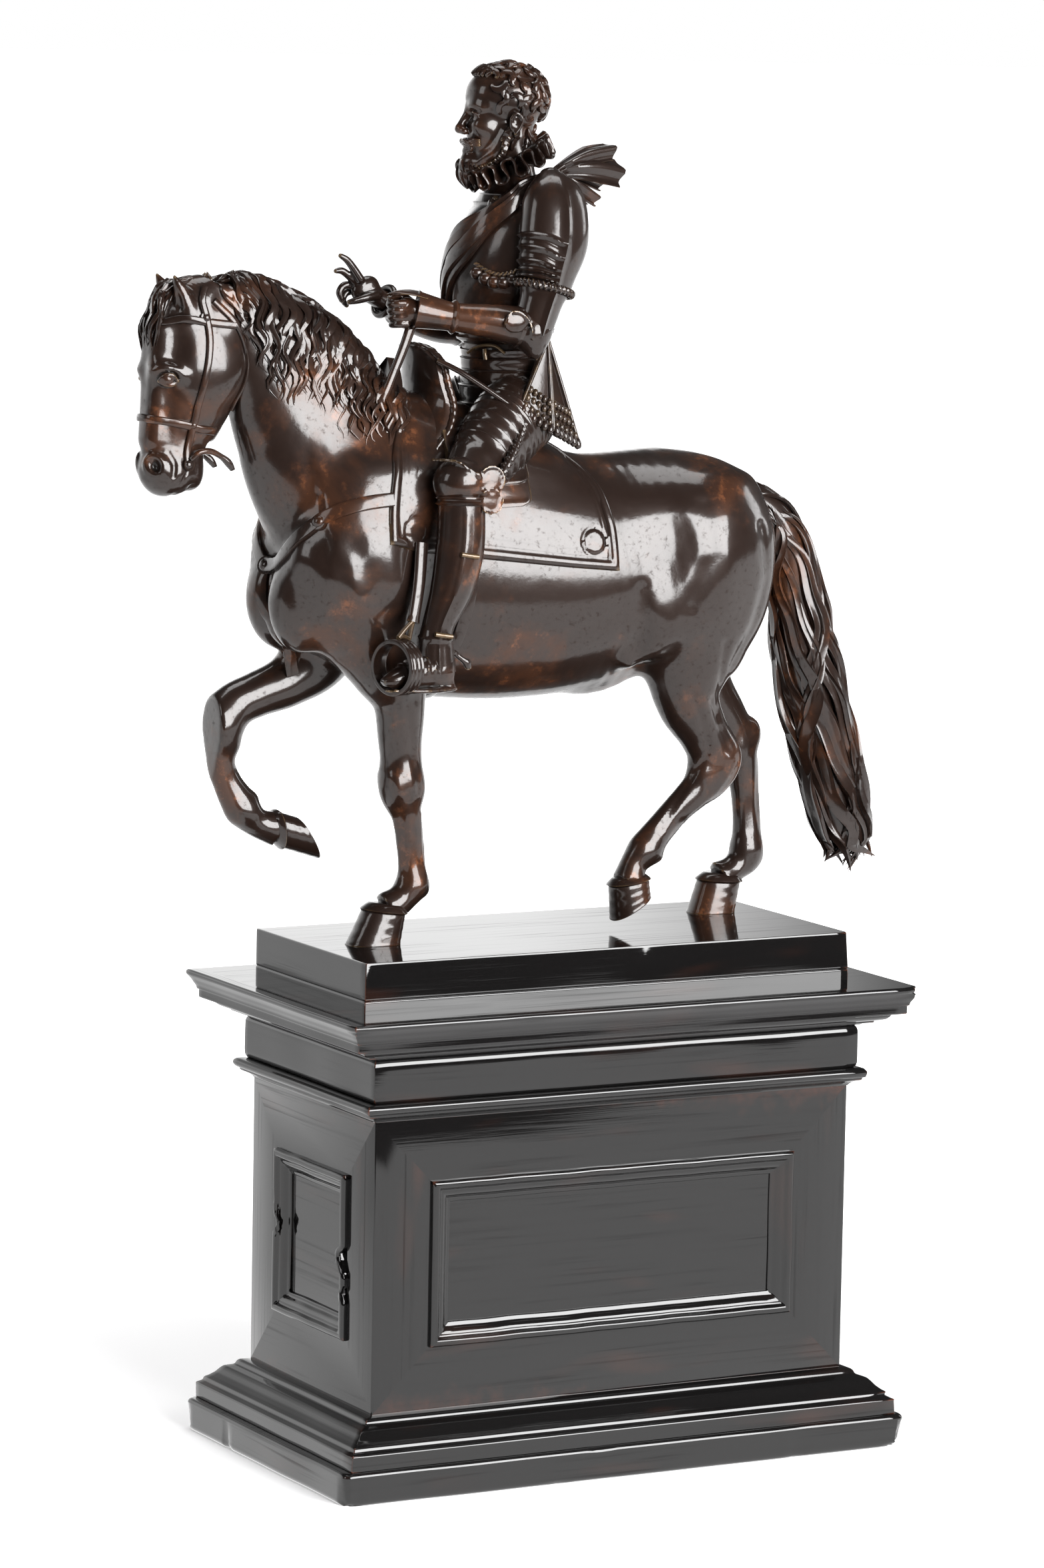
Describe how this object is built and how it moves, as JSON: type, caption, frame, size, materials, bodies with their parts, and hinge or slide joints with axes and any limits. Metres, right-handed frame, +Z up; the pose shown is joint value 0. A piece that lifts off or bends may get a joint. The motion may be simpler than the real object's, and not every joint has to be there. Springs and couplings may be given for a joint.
{
  "type": "equestrian statuette on a plinth",
  "caption": "Bronze rider in armour on a walking horse, standing on a stepped block over a moulded, panelled ebonised plinth.",
  "frame": {"origin": "middle of the plinth's underside", "axes": "+Z up, +X towards the horse's tail, so the horse faces -X"},
  "size_m": [0.2037, 0.0918, 0.3349],
  "materials": {
    "bronze": "dark brown lacquered patina, rubbed to reddish brown",
    "ebonised_wood": "black polish, worn at the edges"
  },
  "bodies": {
    "root": {"plinth_foot_slab": "ebonised_wood", "plinth_base_moulding": "ebonised_wood", "plinth_die": "ebonised_wood", "plinth_panel_moulding_front": "ebonised_wood", "plinth_panel_moulding_right": "ebonised_wood", "plinth_panel_moulding_back": "ebonised_wood", "plinth_panel_moulding_left": "ebonised_wood", "plinth_neck_moulding": "ebonised_wood", "plinth_frieze": "ebonised_wood", "plinth_cornice": "ebonised_wood", "plinth_top_block": "ebonised_wood", "horse": "bronze", "rider": "bronze", "stirrup_left": "bronze", "stirrup_right": "bronze"}
  },
  "joints": []
}
